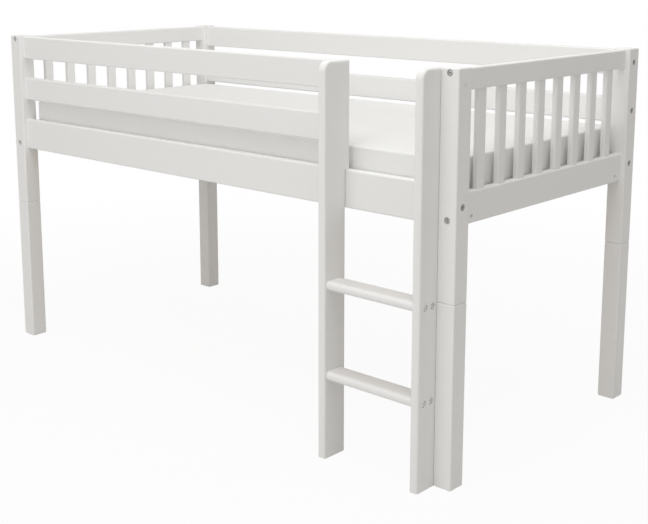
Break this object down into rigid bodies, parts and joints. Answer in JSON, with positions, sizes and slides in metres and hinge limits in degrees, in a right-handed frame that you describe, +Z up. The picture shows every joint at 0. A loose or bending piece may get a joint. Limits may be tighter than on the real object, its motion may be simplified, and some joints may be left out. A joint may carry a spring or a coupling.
{
  "type": "mid sleeper bed",
  "caption": "Raised single bed in white-painted timber with slatted ends, guard boards, a fixed front ladder, a slat base and a mattress, open underneath.",
  "frame": {"origin": "on the floor, in the middle of the bed's whole floor area, ladder included", "axes": "+X along the bed towards the ladder's end, +Y from the ladder's side to the back, +Z up"},
  "size_m": [2.1, 1.076, 1.19],
  "materials": {
    "white_paint": "white satin paint on timber",
    "bare_pine": "planed, unfinished",
    "beech": "fluted dowel, unfinished",
    "zinc_steel": "bright zinc plate",
    "webbing": "woven polyester tape",
    "mattress_cover": "white woven ticking",
    "white_cap": "moulded, matt"
  },
  "bodies": {
    "frame": {"back_cleat": "bare_pine", "back_guard_lower_board": "white_paint", "back_guard_top_board": "white_paint", "back_side_rail": "white_paint", "bolt_hole_plug": "white_cap", "cleat_screws": "zinc_steel", "end_bottom_rail_left": "white_paint", "end_bottom_rail_right": "white_paint", "end_rail_barrel_nuts": "zinc_steel", "end_rail_bolts": "zinc_steel", "end_rail_dowels": "beech", "end_slat_left_1": "white_paint", "end_slat_left_2": "white_paint", "end_slat_left_3": "white_paint", "end_slat_left_4": "white_paint", "end_slat_left_5": "white_paint", "end_slat_left_6": "white_paint", "end_slat_left_7": "white_paint", "end_slat_left_8": "white_paint", "end_slat_right_1": "white_paint", "end_slat_right_2": "white_paint", "end_slat_right_3": "white_paint", "end_slat_right_4": "white_paint", "end_slat_right_5": "white_paint", "end_slat_right_6": "white_paint", "end_slat_right_7": "white_paint", "end_slat_right_8": "white_paint", "end_top_rail_left": "white_paint", "end_top_rail_right": "white_paint", "front_cleat": "bare_pine", "front_guard_lower_board": "white_paint", "front_guard_top_board": "white_paint", "front_side_rail": "white_paint", "insert_nuts": "zinc_steel", "ladder_fixing_screws": "zinc_steel", "ladder_rung_lower": "white_paint", "ladder_rung_upper": "white_paint", "ladder_stile_left": "white_paint", "ladder_stile_right": "white_paint", "leg_front_left": "white_paint", "leg_front_right": "white_paint", "leg_joint_studs": "zinc_steel", "leg_rear_left": "white_paint", "leg_rear_right": "white_paint", "post_front_left": "white_paint", "post_front_right": "white_paint", "post_rear_left": "white_paint", "post_rear_right": "white_paint", "rung_bolts": "zinc_steel", "side_board_barrel_nuts": "zinc_steel", "side_board_bolts": "zinc_steel", "side_board_dowels": "beech", "stile_dowels": "beech"},
    "slat_base": {"bed_slats": "bare_pine", "slat_strap_back": "webbing", "slat_strap_front": "webbing"},
    "mattress": {"mattress": "mattress_cover"}
  },
  "joints": [
    {"name": "slat_base_lift", "type": "slide", "parent": "frame", "child": "slat_base", "axis": [0, 0, 1], "range_m": [0, 0.4]},
    {"name": "mattress_lift", "type": "slide", "parent": "slat_base", "child": "mattress", "axis": [0, 0, 1], "range_m": [0, 0.4]}
  ]
}
